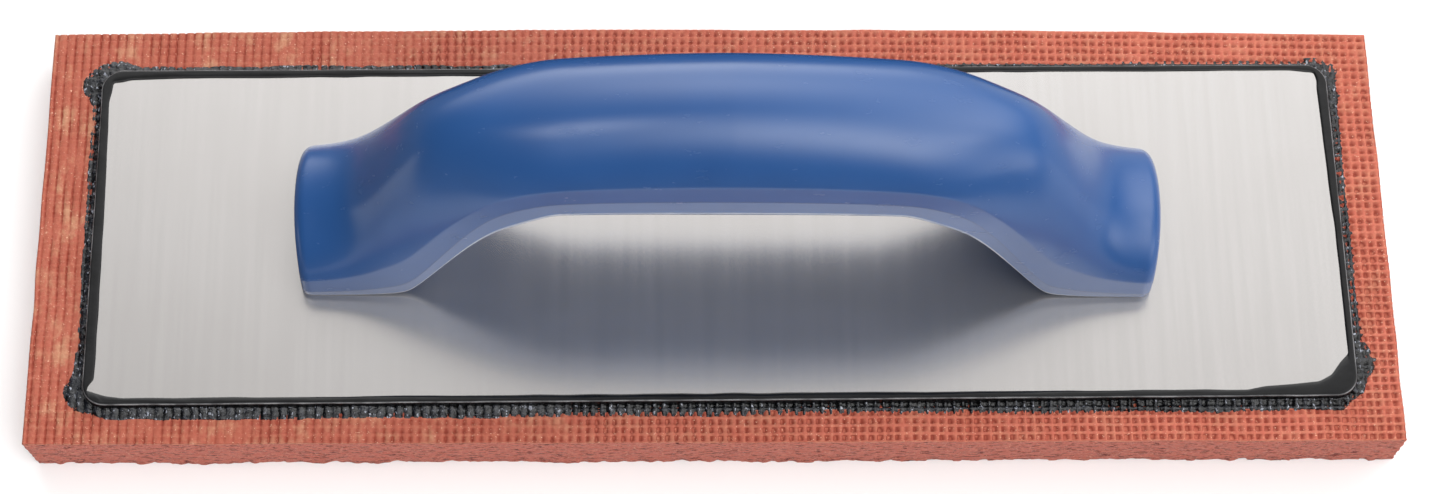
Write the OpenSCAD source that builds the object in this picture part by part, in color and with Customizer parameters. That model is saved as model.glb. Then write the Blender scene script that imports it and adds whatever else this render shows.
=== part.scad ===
// Rubber grout float: a sponge rubber pad glued under an aluminium plate, with a one-piece
// arched plastic handle screwed to the plate from below. Millimetres, +Z up.
// The origin is the middle of the pad's bottom, +X runs along the tool.

/* [Rubber pad] */
// Length (12 in)
pad_len = 304.8; // [290:0.1:330]
// Width, front to back (4 in)
pad_w = 101.6; // [96:0.1:110]
// Thickness (5/8 in)
pad_t = 15.875; // [12:0.125:20]
// How far the near side's bottom edge is cut back under the top edge
undercut = 1.6; // [0.2:0.1:5]

/* [Backing plate] */
// Length
plate_len = 281.6; // [240:0.1:284]
// Width
plate_w = 82.3; // [60:0.1:88]
// Thickness
plate_t = 1.6; // [1.2:0.1:3]
// Corner radius
plate_r = 4.75; // [1:0.25:12]
// The plate's middle, measured along X from the pad's middle
plate_dx = 1; // [-3:0.1:3]
// The plate's middle, measured along Y from the pad's middle
plate_dy = -0.4; // [-1:0.1:1]
// Angle at which the plate was glued to the pad, seen from above
plate_turn = 0.3; // [-0.4:0.05:0.4]

/* [Adhesive and sealant] */
// Thickness of the glue film between the pad and the plate
film_t = 0.4; // [0.2:0.05:0.8]
// Thickness of the sealant on the plate's rim
seal_t = 0.3; // [0.2:0.05:0.6]
// Width of the sealant band on the plate's left end
band_left = 2.1; // [1.5:0.1:5]
// Width of the sealant band on the plate's right end
band_right = 1.7; // [1.5:0.1:5]
// Width of the sealant band on the plate's long edges
band_long = 1.4; // [1:0.1:5]
// Width of the glue pressed out on the rubber in front of the plate
squeeze_near = 2.8; // [1:0.1:4]
// Width of the glue pressed out behind the plate
squeeze_far = 2.3; // [1:0.1:4]
// Width of the glue pressed out at the two ends
squeeze_end = 2.5; // [1:0.1:4]
// Height of the pressed-out glue
squeeze_t = 0.8; // [0.4:0.1:1.5]

/* [Handle] */
// Length over the two feet
handle_len = 191.8; // [185:0.1:200]
// Height of the grip's top above the plate
grip_top = 65.4; // [62:0.1:72]
// Height of the grip's underside above the plate
grip_under = 30; // [28.5:0.1:34]
// Width of the grip in the middle, between its flat sides
grip_w = 31.8; // [31:0.1:37]
// Width of the feet
foot_w = 33.2; // [31:0.1:37]
// Height of a foot's top at its outer end
foot_h = 17.2; // [15:0.1:20]
// Where a leg's inner slope meets the plate, from the handle's middle
leg_in = 71.4; // [68:0.1:74]
// The handle's middle, measured along X from the pad's middle
handle_dx = 2.5; // [-6:0.1:6]
// Angle at which the handle was screwed on, seen from above
handle_turn = -0.3; // [-2:0.05:2]

/* [Screws] */
// Thread diameter
screw_d = 4.2; // [3.5:0.1:4.8]
// Length under the head
screw_len = 12.7; // [10:0.1:13]
// Head diameter
head_d = 8; // [7:0.1:9]
// Head height
head_h = 2.2; // [1.6:0.1:2.6]
// Distance between the two rows of screws, along the handle
screw_pitch_x = 166; // [160:1:170]
// Distance between the two screws of a foot
screw_pitch_y = 17; // [14:0.5:20]

/* [Hidden] */

$fn = 64;
// A cut runs this far past the faces that it goes through.
past = 1;

// Heights of the layers.
film_z = pad_t;
plate_z = film_z + film_t;
deck_z = plate_z + plate_t;

// Screw clearances: round the thread in the plate, and round the head in the film and the pad.
thread_gap = 0.2;
head_gap = 0.4;
thread_fit = 0.05;
thread_pitch = 1.4;
thread_depth = 0.5;
// The cross recess in a screw's head.
recess_l = 4.2;
recess_w = 1.2;
recess_h = 1.3;

// The handle's outline in side view is straight runs joined by hyperbolas. Each run is a height
// above the plate at a distance a from the handle's middle. Slopes are rises per millimetre.
half_len = handle_len/2;
crown_drop = 0.0022;
under_rise = 0.0004;
leg_out_slope = 2.12;
leg_in_slope = 1.55;
// Where the leg's outer slope would meet the plate, if the foot weren't there.
leg_span = 21.6;
leg_out = leg_in + leg_span;
foot_slope = 0.22;
shoulder_blend = 7.5;
palm_blend = 4.1;
toe_blend = 5.6;
heel_blend = 1.4;
// The feet's soles start sinking this far before the leg meets the plate.
heel_run = 16;
// The blends lift or sink the grip by a little, which these put back.
crown_lift = -0.8;
under_lift = 0.2;

// The grip is this much wider, each side, in the palm than at the palm's ends. The legs are
// pinched by this much, each side, where they are slimmest, and the width turns into the feet's
// between the last two distances.
palm_swell = 0.15;
palm_run = 30;
leg_pinch = 0.4;
pinch_from = 38;
pinch_at = 58;
pinch_until = 74;
foot_from = 55;
foot_full = 82;

// The section turns from an oval grip to a flat-bottomed foot with an oval top between these.
round_until = 36;
boxy_from = 70;
grip_power = 2.1;
foot_top_power = 2.15;
foot_low_power = 7.8;
// The widest point of a foot's section, as a share of its height.
foot_waist = 0.13;
// The feet's ends: their edge radius, and how far their faces bulge in plan.
end_r = 2.5;
end_bulge = 1;
bulge_run = 12;
// The sides round in by this share of what the top does.
side_share = 0.6;
// The section's sides are cut flat by this much, at the grip and at the feet.
grip_flat = 0.95;
foot_flat = 0.67;
// A section is never thinner than this.
thinnest = 1;
// A foot's section starts this far below the plate's top, and is cut flat there.
sole_cut = 0.45;

// The handle's mesh.
ring_count = 70;
end_rings = 4;
wall_points = 2;
round_points = 9;
ring_sides = 4*(wall_points + round_points);

// Two heights p and q joined by a hyperbola, along the lower one or the upper one.
function lower(p, q, r) = (p + q)/2 - sqrt(pow((p - q)/2, 2) + r*r);
function upper(p, q, r) = (p + q)/2 + sqrt(pow((p - q)/2, 2) + r*r);

// 0 before a, 1 after b, and a smooth step between them.
function ramp(x, a, b) =
    let (u = min(max((x - a)/(b - a), 0), 1))
    u*u*(3 - 2*u);

function crown(a) = grip_top + crown_lift - crown_drop*a*a;
function outer_slope(a) = leg_out_slope*(leg_out - a);
function foot_top(a) = foot_h + foot_slope*(half_len - a);
function top_z(a) =
    upper(foot_top(a), lower(crown(a), outer_slope(a), shoulder_blend), toe_blend);

function underside(a) = grip_under + under_lift + under_rise*a*a;
function inner_slope(a) = leg_in_slope*(leg_in - a);
function low_z(a) =
    let (leg = lower(underside(a), inner_slope(a), palm_blend))
    upper(leg, 0, heel_blend) - sole_cut*ramp(a, leg_in - heel_run, leg_in);

// Half the width: fullest in the palm, slimmer in the legs, then the feet.
function half_w(a) =
    let (
        waist = grip_w/2 - palm_swell,
        pinch = leg_pinch*ramp(a, pinch_from, pinch_at)*(1 - ramp(a, pinch_at, pinch_until))
    )
    grip_w/2 - palm_swell*ramp(a, 0, palm_run) - pinch
    + (foot_w/2 - waist)*ramp(a, foot_from, foot_full);

// Distance from the section's middle to its edge in the direction t: a superellipse of half
// axes w and h and of power n.
function reach(t, w, h, n) =
    pow(pow(abs(cos(t))/w, n) + pow(abs(sin(t))/h, n), -1/n);

// Angles of a quarter of the section, from the side's middle to the top or the bottom: up the flat
// wall, then round.
function quarter(w, full, h, n) =
    let (rise = h*pow(1 - pow(w/full, n), 1/n), corner = atan2(rise, w))
    [for (i = [0:wall_points + round_points - 1])
        i < wall_points ? corner*i/wall_points
        : corner + (90 - corner)*(i - wall_points)/round_points];
function back(angles) = [for (i = [0:len(angles) - 1]) i == 0 ? 90 : angles[len(angles) - i]];

// One closed section of the handle at the distance a, shrunk by inset near the ends.
function ring(side, a, inset) =
    let (
        k = ramp(a, round_until, boxy_from),
        w = half_w(a) - side_share*inset,
        full = w + grip_flat + k*(foot_flat - grip_flat),
        hi = top_z(a) - inset,
        lo = min(low_z(a), hi - thinnest),
        mid = (1 - k)*(hi + lo)/2 + k*(lo + foot_waist*(hi - lo)),
        n_up = grip_power + k*(foot_top_power - grip_power),
        n_low = grip_power + k*(foot_low_power - grip_power),
        above = quarter(w, full, hi - mid, n_up),
        below = quarter(w, full, mid - lo, n_low),
        turns = concat(
            above, [for (t = back(above)) 180 - t],
            [for (t = below) 180 + t], [for (t = back(below)) 360 - t]
        ),
        bulge = end_bulge*ramp(a, half_len - bulge_run, half_len)
    )
    [for (t = turns)
        let (
            up = sin(t) >= 0,
            r = reach(t, full, up ? hi - mid : mid - lo, up ? n_up : n_low),
            y = min(max(r*cos(t), -w), w)
        )
        [side*(a - bulge*pow(y/w, 2)), y, max(0, mid + r*sin(t))]
    ];

// Sections from the left end to the right end: [side, distance from the middle, inset].
body_end = half_len - end_r;
left_stations = [for (i = [0:end_rings - 1])
    let (f = 90*i/end_rings) [-1, half_len - end_r*(1 - cos(f)), end_r*(1 - sin(f))]];
body_stations = [for (i = [0:ring_count])
    let (x = body_end*(2*i/ring_count - 1)) [sign(x) < 0 ? -1 : 1, abs(x), 0]];
right_stations = [for (i = [end_rings - 1:-1:0]) [1, left_stations[i][1], left_stations[i][2]]];
stations = concat(left_stations, body_stations, right_stations);

// The four screws, in the handle's own directions.
screw_places = [for (sx = [-1, 1], sy = [-1, 1]) [sx*screw_pitch_x/2, sy*screw_pitch_y/2]];

// A rectangle with its middle at the origin and round corners.
module rounded_rect(l, w, r) {
    square([l - 2*r, w], center = true);
    square([l, w - 2*r], center = true);
    for (sx = [-1, 1], sy = [-1, 1])
        translate([sx*(l/2 - r), sy*(w/2 - r)]) circle(r);
}

// Places its children at the plate's middle, turned as the plate is.
module on_plate(z = 0) {
    translate([plate_dx, plate_dy, z]) rotate([0, 0, plate_turn]) children();
}

// A slab of the plate's outline, grown by g on every side, from the height z up.
module plate_slab(z, height, g = 0) {
    on_plate(z)
        linear_extrude(height) rounded_rect(plate_len + 2*g, plate_w + 2*g, plate_r + g);
}

// Places its children at each screw, on the z of its argument.
module at_screws(z) {
    translate([handle_dx, 0, z]) rotate([0, 0, handle_turn])
        for (p = screw_places) translate([p[0], p[1], 0]) children();
}

// Sponge rubber block, cut by hand: its near side leans in towards the bottom. Round pockets
// take the screw heads.
module rubber_pad() {
    color([0.73, 0.44, 0.36])
    difference() {
        translate([-pad_len/2, 0, 0]) rotate([90, 0, 90])
            linear_extrude(pad_len)
                polygon([
                    [-pad_w/2 + undercut, 0],
                    [pad_w/2, 0],
                    [pad_w/2, pad_t],
                    [-pad_w/2, pad_t]
                ]);
        at_screws(plate_z - head_h - head_gap)
            cylinder(d = head_d + 2*head_gap, h = head_h + head_gap + past);
    }
}

// Glue film under the whole plate, open round the screw heads.
module adhesive_film() {
    color([0.13, 0.13, 0.14])
    difference() {
        plate_slab(film_z, film_t);
        at_screws(film_z - past) cylinder(d = head_d + 2*head_gap, h = film_t + 2*past);
    }
}

// Aluminium plate with four clearance holes for the screws.
module backing_plate() {
    color([0.8, 0.79, 0.78])
    difference() {
        plate_slab(plate_z, plate_t);
        at_screws(plate_z - past) cylinder(d = screw_d + 2*thread_gap, h = plate_t + 2*past);
    }
}

// Sealant skin round the plate's edge, folded over on to its top as a flat band.
module rim_sealant() {
    window_l = plate_len - band_left - band_right;
    window_w = plate_w - 2*band_long;
    color([0.17, 0.17, 0.19])
    difference() {
        plate_slab(film_z, film_t + plate_t + seal_t, seal_t);
        plate_slab(film_z - past, past + film_t + plate_t);
        on_plate(deck_z - past) translate([(band_left - band_right)/2, 0, 0])
            linear_extrude(seal_t + 2*past) rounded_rect(window_l, window_w, plate_r/2);
    }
}

// Glue pressed out from under the plate, lying on the rubber as a flat strip.
module adhesive_squeeze_out() {
    color([0.24, 0.24, 0.25])
    difference() {
        on_plate(film_z) translate([0, (squeeze_far - squeeze_near)/2, 0])
            linear_extrude(squeeze_t)
                rounded_rect(
                    plate_len + 2*(seal_t + squeeze_end),
                    plate_w + 2*seal_t + squeeze_near + squeeze_far,
                    plate_r
                );
        plate_slab(film_z - past, squeeze_t + 2*past, seal_t);
    }
}

// One moulding: the grip, the two legs and the two feet, with a blind hole for each screw.
module handle() {
    rings = [for (s = stations) each ring(s[0], s[1], s[2])];
    // A face's middle point closes each end.
    left_mid = len(rings);
    right_mid = left_mid + 1;
    ends = [[-half_len, 0, foot_h/3], [half_len, 0, foot_h/3]];
    skin = [for (j = [0:len(stations) - 2], i = [0:ring_sides - 1])
        let (
            a = j*ring_sides + i,
            b = j*ring_sides + (i + 1) % ring_sides
        )
        each [[a, b, b + ring_sides], [a, b + ring_sides, a + ring_sides]]
    ];
    last = left_mid - ring_sides;
    left_cap = [for (i = [0:ring_sides - 1]) [left_mid, (i + 1) % ring_sides, i]];
    right_cap = [for (i = [0:ring_sides - 1])
        [right_mid, last + i, last + (i + 1) % ring_sides]];
    color([0.24, 0.4, 0.66])
    difference() {
        translate([handle_dx, 0, deck_z]) rotate([0, 0, handle_turn])
            polyhedron(concat(rings, ends), concat(skin, left_cap, right_cap), convexity = 8);
        at_screws(deck_z - past) cylinder(d = screw_d, h = screw_len - plate_t + 2*past);
    }
}

// Four self-tapping screws. Each is one turned profile: a low round head, and a core with thread
// ridges down to a blunt point. A cross recess is cut in the head.
module foot_screws() {
    thread_r = screw_d/2 - thread_fit;
    core_r = thread_r - thread_depth;
    turns = floor((screw_len - plate_t)/thread_pitch) - 1;
    thread = [for (i = [0:turns - 1])
        let (z = plate_t + i*thread_pitch)
        each [[thread_r, z + thread_pitch/2], [core_r, z + thread_pitch]]
    ];
    head = [[0, -head_h], [head_d/4, -head_h], [head_d/2, -head_h/3], [head_d/2, 0]];
    tip = [[core_r/2, screw_len], [0, screw_len]];
    color([0.62, 0.62, 0.6])
    at_screws(plate_z)
        difference() {
            rotate_extrude() polygon(concat(head, [[core_r, 0], [core_r, plate_t]], thread, tip));
            for (turn = [0, 90])
                rotate([0, 0, turn])
                    translate([-recess_l/2, -recess_w/2, -head_h - past])
                        cube([recess_l, recess_w, past + recess_h]);
        }
}

rubber_pad();
adhesive_film();
backing_plate();
rim_sealant();
adhesive_squeeze_out();
handle();
foot_screws();
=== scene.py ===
"""Rubber grout float: a sponge rubber pad, an aluminium plate, black sealant and adhesive round the
plate's rim, and a blue handle.

Shapes are worked out in millimetres, in the frame's axes. They turn into metres when a mesh is made.
"""
import math

import bpy
import numpy as np
from mathutils import Matrix, Vector


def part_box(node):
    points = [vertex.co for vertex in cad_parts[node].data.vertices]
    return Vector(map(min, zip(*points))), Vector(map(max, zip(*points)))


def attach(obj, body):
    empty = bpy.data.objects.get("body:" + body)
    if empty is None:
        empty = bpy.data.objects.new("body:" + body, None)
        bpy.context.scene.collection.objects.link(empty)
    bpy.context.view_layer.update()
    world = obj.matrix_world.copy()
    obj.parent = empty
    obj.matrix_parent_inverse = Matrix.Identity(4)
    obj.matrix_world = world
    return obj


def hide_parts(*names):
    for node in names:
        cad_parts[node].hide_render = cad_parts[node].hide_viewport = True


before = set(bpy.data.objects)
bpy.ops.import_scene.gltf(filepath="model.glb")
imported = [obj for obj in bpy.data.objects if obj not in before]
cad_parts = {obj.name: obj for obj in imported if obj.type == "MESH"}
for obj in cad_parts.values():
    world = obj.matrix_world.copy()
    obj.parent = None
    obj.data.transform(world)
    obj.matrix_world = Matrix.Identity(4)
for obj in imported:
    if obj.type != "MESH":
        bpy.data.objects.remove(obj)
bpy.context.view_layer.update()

MM = 0.001


def box_mm(node):
    """The lowest and highest corner of a CAD node, in millimetres."""
    low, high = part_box(node)
    return np.array(low)/MM, np.array(high)/MM


PAD_LOW, PAD_HIGH = box_mm("rubber_pad")
PLATE_LOW, PLATE_HIGH = box_mm("backing_plate")
HANDLE_LOW, HANDLE_HIGH = box_mm("handle")
PAD_TOP = PAD_HIGH[2]
DECK = PLATE_HIGH[2]

# The plate was glued on slightly turned, and the handle screwed on turned the other way.
PLATE_TURN = math.radians(0.3)
HANDLE_TURN = math.radians(-0.3)
PLATE_MIDDLE = (PLATE_LOW + PLATE_HIGH)/2
# The radius of the plate's corners, and how far the sealant stands out from its sides.
PLATE_R = 4.75
SEAL_T = 0.3


def plate_half_sides():
    """Half the plate's length and width, from the box of the turned, round-cornered plate."""
    cos, sin = math.cos(PLATE_TURN), math.sin(PLATE_TURN)
    box_x, box_y = (PLATE_HIGH - PLATE_LOW)[:2]/2 - PLATE_R
    scale = cos*cos - sin*sin
    return PLATE_R + (box_x*cos - box_y*sin)/scale, PLATE_R + (box_y*cos - box_x*sin)/scale


PLATE_X, PLATE_Y = plate_half_sides()


def turned(points, angle, middle):
    """Points, in the directions of a turned piece, as points of the frame."""
    cos, sin = math.cos(angle), math.sin(angle)
    x, y = points[..., 0], points[..., 1]
    return np.stack([middle[0] + x*cos - y*sin, middle[1] + x*sin + y*cos], axis=-1)


def on_plate(points):
    """Points in the directions of the plate's sides, as points of the frame."""
    return turned(points, PLATE_TURN, PLATE_MIDDLE)


# ---------------------------------------------------------------- numbers

def ease(t):
    """A smooth step from 0 at 0 to 1 at 1."""
    t = np.clip(t, 0, 1)
    return t*t*(3 - 2*t)


def ramp(x, start, end):
    """0 before start, 1 after end, and a smooth step between them."""
    return ease((np.asarray(x, float) - start)/(end - start))


def between(k, start, end):
    """start where k is 0, end where it is 1, and in proportion in between."""
    return start + k*(end - start)


def lattice(seed, size=256):
    """Random heights for noise(), the same at each run."""
    return np.random.default_rng(seed).uniform(-1, 1, (size, size))


def noise(grid, u, v=0.0):
    """Smooth noise from -1 to 1. Its lumps are one unit of u and v wide."""
    u, v = np.broadcast_arrays(np.asarray(u, float), np.asarray(v, float))
    i, j = np.floor(u).astype(int), np.floor(v).astype(int)
    s, t = ease(u - i), ease(v - j)
    n = len(grid)
    near = grid[i % n, j % n]*(1 - s) + grid[(i + 1) % n, j % n]*s
    far = grid[i % n, (j + 1) % n]*(1 - s) + grid[(i + 1) % n, (j + 1) % n]*s
    return near*(1 - t) + far*t


# ---------------------------------------------------------------- meshes

def add_piece(name, points, faces, material, slot, node, **values):
    """A smooth-shaded mesh piece that stands for a CAD node. Values are kept per point."""
    mesh = bpy.data.meshes.new(name)
    mesh.from_pydata((np.asarray(points)*MM).tolist(), [], faces)
    for key, numbers in values.items():
        layer = mesh.attributes.new(key, "FLOAT", "POINT")
        layer.data.foreach_set("value", np.asarray(numbers, dtype=np.float32))
    mesh.shade_smooth()
    mesh.materials.append(material)
    piece = bpy.data.objects.new(name, mesh)
    bpy.context.scene.collection.objects.link(piece)
    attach(piece, "root")
    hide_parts(node)
    return piece


def ring_faces(rings, sides, closed):
    """Quads between neighbouring rings of points. A closed set joins the last ring to the first."""
    start = np.arange(rings if closed else rings - 1)[:, None]
    side = np.arange(sides)[None, :]
    after, beside = (start + 1) % rings, (side + 1) % sides
    corners = [start*sides + side, start*sides + beside, after*sides + beside, after*sides + side]
    return np.stack(corners, axis=-1).reshape(-1, 4).tolist()


# ---------------------------------------------------------------- handle

HALF_LEN = 95.9
# Heights above the plate: the grip's top and underside at its middle, and the foot's top at the end.
GRIP_TOP = 65.4
GRIP_UNDER = 30.0
FOOT_H = 17.2
GRIP_HALF_W = 15.9
FOOT_HALF_W = 16.6
# The grip's top and underside are parabolas: how much they drop or rise per square millimetre.
CROWN_DROP = 0.0022
UNDER_RISE = 0.0004
# The leg's inner and outer sides are straight: where each would reach the plate, how thick the leg
# would be there, and each side's slope.
LEG_THICK = 21.6
LEG_IN = 71.4
LEG_OUT = LEG_IN + LEG_THICK
LEG_IN_SLOPE = 1.55
LEG_OUT_SLOPE = 2.12
# The foot's top rises towards the leg.
FOOT_SLOPE = 0.22
# How far the blend at each corner passes from it.
SHOULDER_BLEND = 7.5
PALM_BLEND = 4.1
TOE_BLEND = 5.6
HEEL_BLEND = 1.4
# What makes up for the blends' effect on the grip's two heights.
CROWN_LIFT = -0.8
UNDER_LIFT = 0.2
# What makes up for the heel's blend under the foot, so that the sole lies flat.
SOLE_CUT = 0.45
HEEL_RUN = 16
# The grip is widest in its middle, by this much over this run.
PALM_SWELL = 0.15
PALM_RUN = 30
# The leg is pinched by this much: where it starts, where it is deepest and where it ends.
LEG_PINCH = 0.4
PINCH = (38, 58, 74)
# Where the width grows to the foot's, and where the section turns from the grip's to the foot's.
FOOT_WIDENS = (55, 82)
BOXY = (36, 70)
# How square each section is: 2 is an ellipse. The foot's lower part is nearly a rectangle.
GRIP_POWER = 2.1
FOOT_TOP_POWER = 2.15
FOOT_LOW_POWER = 7.8
# The foot's section is widest at this share of its height.
FOOT_WAIST = 0.13
# The ends' edges have this radius, and their sides are rounded by a share of it.
END_R = 2.5
SIDE_SHARE = 0.6
# The middle of an end stands out past its sides by this much, which grows over this run.
END_BULGE = 1.0
BULGE_RUN = 12
# No section is less high than this.
THINNEST = 1
# The section's sides are cut flat by this much, at the grip and at the feet.
SIDE_FLAT = (0.95, 0.67)
# Steps up the flat wall and then round to the top or bottom, as shares of each.
WALL_STEPS = np.array([0, 0.04, 0.5, 0.85, 0.93])
ROUND_START = 0.08
ROUND_COUNT = 24
ROUND_STEPS = np.append([0, 0.03], between(np.arange(ROUND_COUNT)/ROUND_COUNT, ROUND_START, 1))
HANDLE_SIDES = 4*(len(WALL_STEPS) + len(ROUND_STEPS))
HANDLE_STATIONS = 280
END_STATIONS = 8
# The mould's halves meet in the middle of the flat sides, which stand out this far there.
RIDGE = 0.3
RIDGE_QUARTER = np.append(1 - WALL_STEPS, 0*ROUND_STEPS)


def lower(p, q, r):
    """The lower of two heights. Where they cross, the blend between them passes r below."""
    return (p + q)/2 - np.sqrt(((p - q)/2)**2 + r*r)


def upper(p, q, r):
    """The upper of two heights. Where they cross, the blend between them passes r above."""
    return (p + q)/2 + np.sqrt(((p - q)/2)**2 + r*r)


def handle_top(a):
    """The top's height above the plate, at the distance a from the handle's middle."""
    crown = GRIP_TOP + CROWN_LIFT - CROWN_DROP*a*a
    leg = lower(crown, LEG_OUT_SLOPE*(LEG_OUT - a), SHOULDER_BLEND)
    return upper(FOOT_H + FOOT_SLOPE*(HALF_LEN - a), leg, TOE_BLEND)


def handle_low(a):
    """The underside's height above the plate."""
    palm = GRIP_UNDER + UNDER_LIFT + UNDER_RISE*a*a
    leg = lower(palm, LEG_IN_SLOPE*(LEG_IN - a), PALM_BLEND)
    return upper(leg, 0, HEEL_BLEND) - SOLE_CUT*ramp(a, LEG_IN - HEEL_RUN, LEG_IN)


def handle_half_w(a):
    """Half the handle's width between its flat sides, without the ridge."""
    pinch = LEG_PINCH*ramp(a, PINCH[0], PINCH[1])*(1 - ramp(a, PINCH[1], PINCH[2]))
    foot = (FOOT_HALF_W - GRIP_HALF_W + PALM_SWELL)*ramp(a, *FOOT_WIDENS)
    return GRIP_HALF_W - PALM_SWELL*ramp(a, 0, PALM_RUN) - pinch + foot


def section_quarter(w, full, h, power):
    """Angles from the side's middle towards the top or bottom: up the flat wall, then round. The
    steps crowd at the corner between them, which keeps it crisp."""
    rise = h*(1 - (w/full)**power)**(1/power)
    corner = math.atan2(rise, w)
    return np.concatenate([corner*WALL_STEPS, corner + (math.pi/2 - corner)*ROUND_STEPS])


def back(quarter, last):
    """The next quarter's values: the same ones, from the top or bottom to the other side."""
    return np.append(quarter[1:], last)[::-1]


def section_angles(upper_quarter, lower_quarter):
    """The angles of a whole section, from two quarters."""
    parts = [upper_quarter, math.pi - back(upper_quarter, math.pi/2)]
    parts += [math.pi + lower_quarter, 2*math.pi - back(lower_quarter, math.pi/2)]
    return np.concatenate(parts)


RIDGE_RING = np.tile(np.append(RIDGE_QUARTER, back(RIDGE_QUARTER, 0)), 2)
# The moulding's sharp edges, below the ridge, carry a pale painted highlight.
EDGE_HIGHLIGHT_QUARTER = np.isin(np.arange(HANDLE_SIDES//4), (len(WALL_STEPS) - 1, len(WALL_STEPS)))
EDGE_HIGHLIGHT_HALF = np.append(EDGE_HIGHLIGHT_QUARTER, back(EDGE_HIGHLIGHT_QUARTER, False))
EDGE_HIGHLIGHT_RING = np.append(np.zeros(HANDLE_SIDES//2), EDGE_HIGHLIGHT_HALF)


def handle_ring(side, a, inset):
    """One closed section at the distance a from the middle, shrunk by inset near the ends."""
    boxy = ramp(a, *BOXY)
    w = handle_half_w(a) - SIDE_SHARE*inset
    full = w + between(boxy, *SIDE_FLAT)
    hi = handle_top(a) - inset
    lo = min(handle_low(a), hi - THINNEST)
    mid = between(boxy, (hi + lo)/2, lo + FOOT_WAIST*(hi - lo))
    up_power = between(boxy, GRIP_POWER, FOOT_TOP_POWER)
    low_power = between(boxy, GRIP_POWER, FOOT_LOW_POWER)
    t = section_angles(section_quarter(w, full, hi - mid, up_power),
                       section_quarter(w, full, mid - lo, low_power))
    up = np.sin(t) >= 0
    h = np.where(up, hi - mid, mid - lo)
    power = np.where(up, up_power, low_power)
    r = ((np.abs(np.cos(t))/full)**power + (np.abs(np.sin(t))/h)**power)**(-1/power)
    y = np.clip(r*np.cos(t), -w, w)
    y = y + RIDGE*RIDGE_RING*np.sign(y)
    bulge = END_BULGE*ramp(a, HALF_LEN - BULGE_RUN, HALF_LEN)
    return np.stack([side*(a - bulge*(y/w)**2), y, np.maximum(0, mid + r*np.sin(t))], axis=-1)


def handle_stations():
    """(side, distance from the middle, inset) from the left end to the right end."""
    quarter = np.radians(90*np.arange(END_STATIONS)/END_STATIONS)
    ends = [(HALF_LEN - END_R*(1 - math.cos(f)), END_R*(1 - math.sin(f))) for f in quarter]
    left = [(-1, a, inset) for a, inset in ends]
    right = [(1, a, inset) for a, inset in reversed(ends)]
    xs = np.linspace(-1, 1, HANDLE_STATIONS)*(HALF_LEN - END_R)
    return left + [(-1 if x < 0 else 1, abs(x), 0.0) for x in xs] + right


def make_handle():
    """The handle, lofted from its left end to its right one, as one closed mesh."""
    stations = handle_stations()
    rings = np.array([handle_ring(*station) for station in stations])
    points = rings.reshape(-1, 3)
    plan = turned(points[:, :2], HANDLE_TURN, (HANDLE_LOW + HANDLE_HIGH)/2)
    points = np.column_stack([plan, points[:, 2] + DECK])
    faces = ring_faces(len(stations), HANDLE_SIDES, closed=False)
    last = (len(stations) - 1)*HANDLE_SIDES
    faces += [list(range(HANDLE_SIDES))[::-1], [last + i for i in range(HANDLE_SIDES)]]
    add_piece(
        "handle_moulding", points, faces, handle_plastic(), "handle", "handle",
        seam=np.tile(RIDGE_RING == 1, len(stations)),
        # Where a pale highlight is painted along the lower edges.
        rubbed=np.tile(EDGE_HIGHLIGHT_RING, len(stations)),
    )


# ---------------------------------------------------------------- pad

THREAD_PITCH = 1.95
# Half widths of a pit at its rim and at its bottom, as shares of the pitch, left and right.
RIM_SHARE = (0.19, 0.38)
PIT_SHARE = (0.06, 0.27)
# Where along the pad the print turns from ribs to pits.
RIBS_TO_PITS = (-120, 60)
PRINT_DEPTH = 0.6
# The print's depth as shares of PRINT_DEPTH: in a rib, how much deeper a cross thread makes it, and
# in a cross thread between ribs; then in a pit, and in the grooves that join the pits.
RIB, RIB_CROSSED, RIB_GAP = 0.5, 0.25, 0.2
PIT, PIT_GROOVE = 0.9, 0.15
# How worn the print is: its usual depth, how much that varies at the left and at the right, and the
# size of the worn places. Then the same from one thread to the next.
WEAR, WEAR_VARIES, WEAR_SIZE = 0.85, (0.55, 0.3), (7, 9)
CELL, CELL_VARIES = 0.9, 0.4
DEEPEST = 1.2
# How far the threads stray along x and y, and the size of the stray across and along a thread.
STRAY, STRAY_SIZE = (0.15, 0.13), (9, 26)
# The face swells and sinks by this much about its middle height, over places of this size.
SWELL, SWELL_SIZE = 0.12, (18, 14)
# The far edge bows out by this much in its middle.
FAR_BOW = 1.4
# At its bottom the pad's near side leans in, the others lean out, and the near left corner is cut.
UNDERCUT = 1.6
SPREAD = 0.4
LEFT_CORNER_CUT = 1.2
LEFT_CORNER_SIZE = (2.5, 8)
# The near side's lean fades out between these distances from the near edge.
NEAR_FADE = (1, 6)
# The cut sides' hollows: depth, length along the side, height, and a shift that keeps the two
# sizes apart.
HOLLOWS = ((0.16, 2.4, 0.9, 0), (0.1, 0.8, 0.6, 90))
HOLLOWS_START = 0.1
# The ragged lower edge: depth and length of its rags, and where it starts on the way down.
RAGS = (0.24, 1.5), (0.2, 7)
RAGS_START = 0.75
# The pad has no cloth print under the plate, further in than this from the plate's edge.
HIDDEN_RIM = 2.5
SIDE_ROWS = 15
# The rows of a side are closer together at its top.
ROW_CROWDING = 1.15
# How many times the outward directions are smoothed round the corners.
CORNER_SMOOTHINGS = 6

wander_x, wander_y = lattice(1), lattice(2)
print_wear, print_cells, pad_swell = lattice(3), lattice(4), lattice(5)


def right_share(x):
    """0 at the pad's left, where the cloth left ribs, to 1 at its right, where it left pits."""
    return ramp(x, *RIBS_TO_PITS)


def thread_shares(x):
    """The half widths of the print's pits at x, at the rim and at the bottom."""
    k = right_share(x)
    return between(k, *RIM_SHARE), between(k, *PIT_SHARE)


def cross_shares(y):
    """The same for the threads that lie the other way: one width all over."""
    return np.full(len(y), RIM_SHARE[1]), np.full(len(y), PIT_SHARE[1])


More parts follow.
